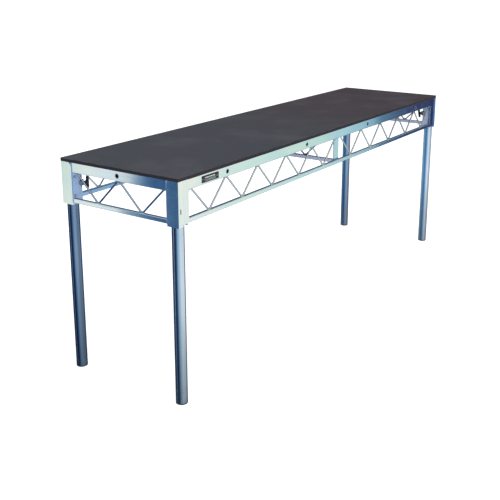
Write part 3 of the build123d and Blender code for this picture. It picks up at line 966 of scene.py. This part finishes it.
build_flange_screws()
build_bushes()
build_label()


# ---------------------------------------------------------------- clamps

def screw_shape(angle, radius, distance):
    """Factor that cuts a right-hand thread: the radius falls from the crest by a rounded saw
    tooth of (distance / lead - angle / a full turn), which fades in over the first lead."""
    depth = 0.11
    turns = distance / thread_lead - angle / (2 * np.pi)
    tooth = 1 - np.abs(2 * np.mod(turns, 1.0) - 1)
    tooth = np.clip(1.4 * tooth - 0.1, 0.0, 1.0)
    start_fade = np.clip((distance - screw_start) / thread_lead, 0.0, 1.0)
    return np.where(radius > screw_tip_radius, 1 - depth * tooth * start_fade, 1.0)


def finger_flutes(angle, radius, distance):
    """Factor that sinks six shallow flutes into the handle's bar, away from its middle."""
    depth = 0.03
    return 1 - depth * (1 - np.cos(6 * angle)) * np.clip(np.abs(distance) / 0.01 - 0.8, 0, 1) / 2


def hub_flutes(angle, radius, distance):
    """Factor that sinks ten flutes into the hub, fading out over 4 mm below its crown."""
    depth = 0.05
    below_crown = np.clip((handle_reach - distance) / 0.004, 0, 1)
    return 1 - depth * (1 - np.cos(10 * angle)) / 2 * below_crown


def build_pad(corner, axis, inward):
    recess = screw_tip_radius + 0.0001
    recess_floor = pad_thickness - screw_tip_length - 0.0001
    profile = [(0.0, 0.0)] + [(pad_radius - inset, height) for inset, height in pad_rounding]
    profile += [(pad_radius - inset, pad_thickness - height)
                for inset, height in pad_rounding[::-1]]
    profile += [(recess, pad_thickness), (recess, recess_floor), (0.0, recess_floor)]
    grid = lathe(profile, axis + pad_start * inward, inward, 40)
    piece(f"pad_{corner}", [(grid, False, True)], clamp_finish, f"clamp_pad_{corner}",
          [f"clamp_pad_{corner}"])


def build_screw(corner, axis, inward):
    tip = screw_start - screw_tip_length
    end = handle_reach + handle_radius - 0.0015
    rows = np.arange(screw_start, end, thread_lead / 8)
    profile = [(0.0, tip), (screw_tip_radius, tip), (screw_tip_radius, screw_start)]
    profile += [(screw_radius, row) for row in rows]
    profile.append((0.0, rows[-1]))
    grid = lathe(profile, axis, inward, 32, screw_shape)
    piece(f"screw_{corner}", [(grid, False, True)], clamp_finish, f"clamp_screw_{corner}",
          [f"clamp_screw_{corner}"], sharp=70)


def build_handle(corner, axis, inward):
    """A T handle: a bar with a slight waist and round ends, square to the screw, and a hub."""
    turn = math.radians(handle_turns[corner])
    sideways = inward * (1, -1, 1)
    bar_axis = math.sin(turn) * sideways + math.cos(turn) * np.array((0.0, 0.0, 1.0))
    narrowest, rounded_share = 0.88, 0.16
    share = np.linspace(-1, 1, 41)
    waist = handle_radius * (narrowest + (1 - narrowest) * share ** 2)
    rounding = np.clip((1 - np.abs(share)) / rounded_share, 0.0, 1.0)
    bar = list(zip(waist * np.sqrt(1 - (1 - rounding) ** 2), share * handle_half_length))

    hub_start = handle_reach - hub_length
    hub = [(0.0, hub_start), (hub_radius - 0.0015, hub_start),
           (hub_radius - 0.0004, hub_start + 0.0004), (hub_radius, hub_start + 0.0015),
           (hub_radius, handle_reach - 0.003)]
    crown = ((0.93, 0.0), (0.80, 0.0035), (0.62, 0.0056), (0.35, 0.0066), (0.0, 0.0069))
    hub += [(hub_radius * radius, handle_reach + height) for radius, height in crown]

    grids = [(lathe(bar, axis + handle_reach * inward, bar_axis, 36, finger_flutes), False, True),
             (lathe(hub, axis, inward, 60, hub_flutes), False, True)]
    piece(f"handle_{corner}", grids, handle_finish, f"clamp_screw_{corner}",
          [f"clamp_handle_{corner}"], sharp=50)


def build_clamps():
    """A clamp at each corner.  Its screw's axis starts on the leg's own axis and runs level, at
    45 degrees towards the deck's middle.  The four bosses are one piece."""
    half_root = math.sqrt(0.5)
    bore = screw_radius + 0.00005
    recess = pad_radius + 0.0003
    recess_end = boss_start + boss_recess
    end = boss_start + boss_length
    rim = 0.0008
    profile = [(recess, boss_start + 0.0003), (recess + 0.0003, boss_start),
               (boss_radius - rim, boss_start), (boss_radius, boss_start + rim),
               (boss_radius, end - rim), (boss_radius - rim, end), (bore + rim, end),
               (bore, end - rim), (bore, recess_end), (recess, recess_end)]
    bosses = []
    for corner, (side_x, side_y) in corners.items():
        axis = np.array((side_x * leg_x, side_y * leg_y, clamp_level))
        inward = np.array((-side_x * half_root, -side_y * half_root, 0.0))
        build_pad(corner, axis, inward)
        build_screw(corner, axis, inward)
        build_handle(corner, axis, inward)
        bosses.append((lathe(profile, axis, inward, 48), True, True))
    piece("boss_set", bosses, clamp_finish, "frame", ["clamp_bosses"])


build_clamps()


# ---------------------------------------------------------------- legs

def foot_profile():
    """A foot's outline: a shallow hollow underneath, a rim as wide as the tube with rounded
    edges, and a ribbed plug inside the tube."""
    hollow_radius, hollow_depth = 0.0140, 0.0008
    plug = leg_radius - leg_wall - 0.0001
    groove = plug - 0.0006
    plug_top = foot_height + foot_plug_length
    outline = [(0.0, hollow_depth), (hollow_radius, hollow_depth), (hollow_radius + 0.001, 0.0),
               (leg_radius - 0.0020, 0.0), (leg_radius - 0.0008, 0.0005),
               (leg_radius - 0.0002, 0.0014), (leg_radius, 0.0024),
               (leg_radius, foot_height - 0.0005), (leg_radius - 0.0005, foot_height),
               (plug, foot_height)]
    first_rib, rib_pitch, rib_part = foot_height + 0.003, 0.005, 0.001
    for rib in range(4):
        low = first_rib + rib * rib_pitch
        outline += [(groove, low), (plug, low + rib_part), (plug, low + 2 * rib_part),
                    (groove, low + 3 * rib_part)]
    return outline + [(plug - 0.0012, plug_top), (0.0, plug_top)]


def build_leg(corner, side_x, side_y):
    place = (side_x * leg_x, side_y * leg_y, 0.0)
    tube = ring_profile(leg_radius - leg_wall, leg_radius, foot_height, leg_top, tube_rim_radius)
    piece(f"leg_tube_{corner}", [(lathe(tube, place, (0, 0, 1), 96), True, True)], leg_finish,
          f"leg_{corner}", [f"leg_{corner}"])
    piece(f"foot_{corner}", [(lathe(foot_profile(), place, (0, 0, 1), 64), False, True)],
          foot_finish, f"leg_{corner}", [f"leg_foot_{corner}"])


for corner_name, (corner_x, corner_y) in corners.items():
    build_leg(corner_name, corner_x, corner_y)


# ---------------------------------------------------------------- floor

floor_glow = 0.22                 # strength of its own light


def build_floor():
    """A pale sheet just below the reach of a leg that is drawn out.  Seen from beneath it is
    clear, so that the deck's underside shows."""
    f = Finish("studio_floor")
    cloud = f.noise(0.6, 3.0)
    base = f.mix(f.fit(cloud, 0.35, 0.65), srgb("fafafa"), srgb("f8f8f8"))
    f.set(colour=base, rough=f.fit(cloud, 0.3, 0.7, 0.75, 0.85), specular=0.0)
    f.shader.inputs["Emission Color"].default_value = srgb("ffffff")
    f.shader.inputs["Emission Strength"].default_value = floor_glow
    one_sided = f.node("ShaderNodeMixShader")
    f.join(f.node("ShaderNodeNewGeometry").outputs["Backfacing"], one_sided.inputs[0])
    f.join(f.shader.outputs[0], one_sided.inputs[1])
    f.join(f.node("ShaderNodeBsdfTransparent").outputs[0], one_sided.inputs[2])
    f.join(one_sided.outputs[0], f.output.inputs["Surface"])
    mesh = bpy.data.meshes.new("studio_floor")
    outline = [(-1, -1), (1, -1), (1, 1), (-1, 1)]
    mesh.from_pydata([(floor_reach * x, floor_reach * y, -floor_drop) for x, y in outline],
                     [], [(0, 1, 2, 3)])
    mesh.materials.append(f.material)
    floor = bpy.data.objects.new("studio_floor", mesh)
    bpy.context.scene.collection.objects.link(floor)
    floor.visible_glossy = False


build_floor()


# ---------------------------------------------------------------- light

world_strength = 1.05
studio_ring = [                   # direction in degrees from +X towards +Y, what stands there
    (-180, "4a6888"), (-163, "7ca6c2"), (-141, "acc9da"), (-119, "cfe2ea"), (-98, "f6fbfa"),
    (-73, "e2eae8"), (-52, "eff3ee"), (-39, "f4f6ef"), (-35.8, "daefe8"), (-31, "d2e9e6"),
    (-28.2, "bcdfe2"), (-26.0, "b6dfee"), (-25.1, "4f86ae"), (-24.3, "3a6392"), (-23.3, "46407a"),
    (-22.1, "3d3868"), (-20, "3a3f68"), (-8, "5f7696"), (50, "8fa7ba"),
    (76, "4a6684"), (96, "2b3f58"), (121, "2f4863"), (126.5, "c4dad6"), (130, "e2efe9"),
    (136.6, "e8f0f6"), (137.4, "7f9fbb"), (138.0, "3a6a94"), (141.5, "3d6c96"), (147, "33486a"),
    (160, "2c3c58"), (172, "2d4260"),
]


def build_world():
    """White light for everything but reflections, which see a ring of pale boards with blue
    gaps between them, a grey strip above it and white higher up."""
    world = bpy.data.worlds.new("studio")
    bpy.context.scene.world = world
    world.use_nodes = True
    w = NodeTree(world.node_tree)
    direction = w.node("ShaderNodeTexCoord").outputs["Generated"]
    around = w.math("ARCTAN2", w.part_of(direction, 1), w.part_of(direction, 0))
    stops = studio_ring + [(180, studio_ring[0][1])]
    seen = w.ramp(w.fit(around, -math.pi, math.pi),
                  [((degrees + 180) / 360, srgb(colour)) for degrees, colour in stops])
    level = w.part_of(direction, 2)
    for low, high, colour in ((0.02, 0.12, "6d7682"), (0.30, 0.45, "ffffff")):
        seen = w.mix(w.fit(level, low, high), seen, srgb(colour))
    reflected = w.node("ShaderNodeLightPath").outputs["Is Glossy Ray"]
    background = w.node("ShaderNodeBackground")
    w.feed(background.inputs["Color"], w.mix(reflected, srgb("ffffff"), seen))
    w.feed(background.inputs["Strength"], world_strength)
    output = w.node("ShaderNodeOutputWorld")
    w.join(background.outputs["Background"], output.inputs["Surface"])


def soft_light(name, place, size, power):
    """A round soft light that looks at the frame, size metres across, with power in watts."""
    aim = Vector((0.0, 0.0, 0.6))
    lamp = bpy.data.lights.new(name, "AREA")
    lamp.shape = "DISK"
    lamp.size = size
    lamp.energy = power
    holder = bpy.data.objects.new(name, lamp)
    bpy.context.scene.collection.objects.link(holder)
    holder.location = place
    holder.rotation_euler = (aim - Vector(place)).to_track_quat("-Z", "Y").to_euler()
    holder.visible_glossy = False


build_world()
soft_light("key_light", place=(-3.0, -3.5, 4.0), size=3.0, power=90.0)
soft_light("fill_light", place=(3.0, 3.5, 3.5), size=3.0, power=45.0)

bpy.context.scene.view_settings.view_transform = "Standard"


# ---------------------------------------------------------------- camera

camera_place = (-3.365, -2.092, 1.634)
camera_yaw = math.radians(34.48)  # from +X towards +Y
camera_dip = math.radians(14.23)  # below level
lens_length = 57.64               # millimetres, on a sensor 36 mm wide
lens_shift = -0.15                # share of the view's width: keeps the legs more upright
view_reach = 200.0                # past the floor's corners


def build_camera():
    level = math.cos(camera_dip)
    forward = Vector((math.cos(camera_yaw) * level, math.sin(camera_yaw) * level,
                      -math.sin(camera_dip)))
    lens = bpy.data.cameras.new("camera")
    lens.sensor_width = 36.0
    lens.lens = lens_length
    lens.shift_y = lens_shift
    lens.clip_end = view_reach
    camera = bpy.data.objects.new("camera", lens)
    bpy.context.scene.collection.objects.link(camera)
    camera.location = camera_place
    camera.rotation_euler = forward.to_track_quat("-Z", "Y").to_euler()
    bpy.context.scene.camera = camera


build_camera()
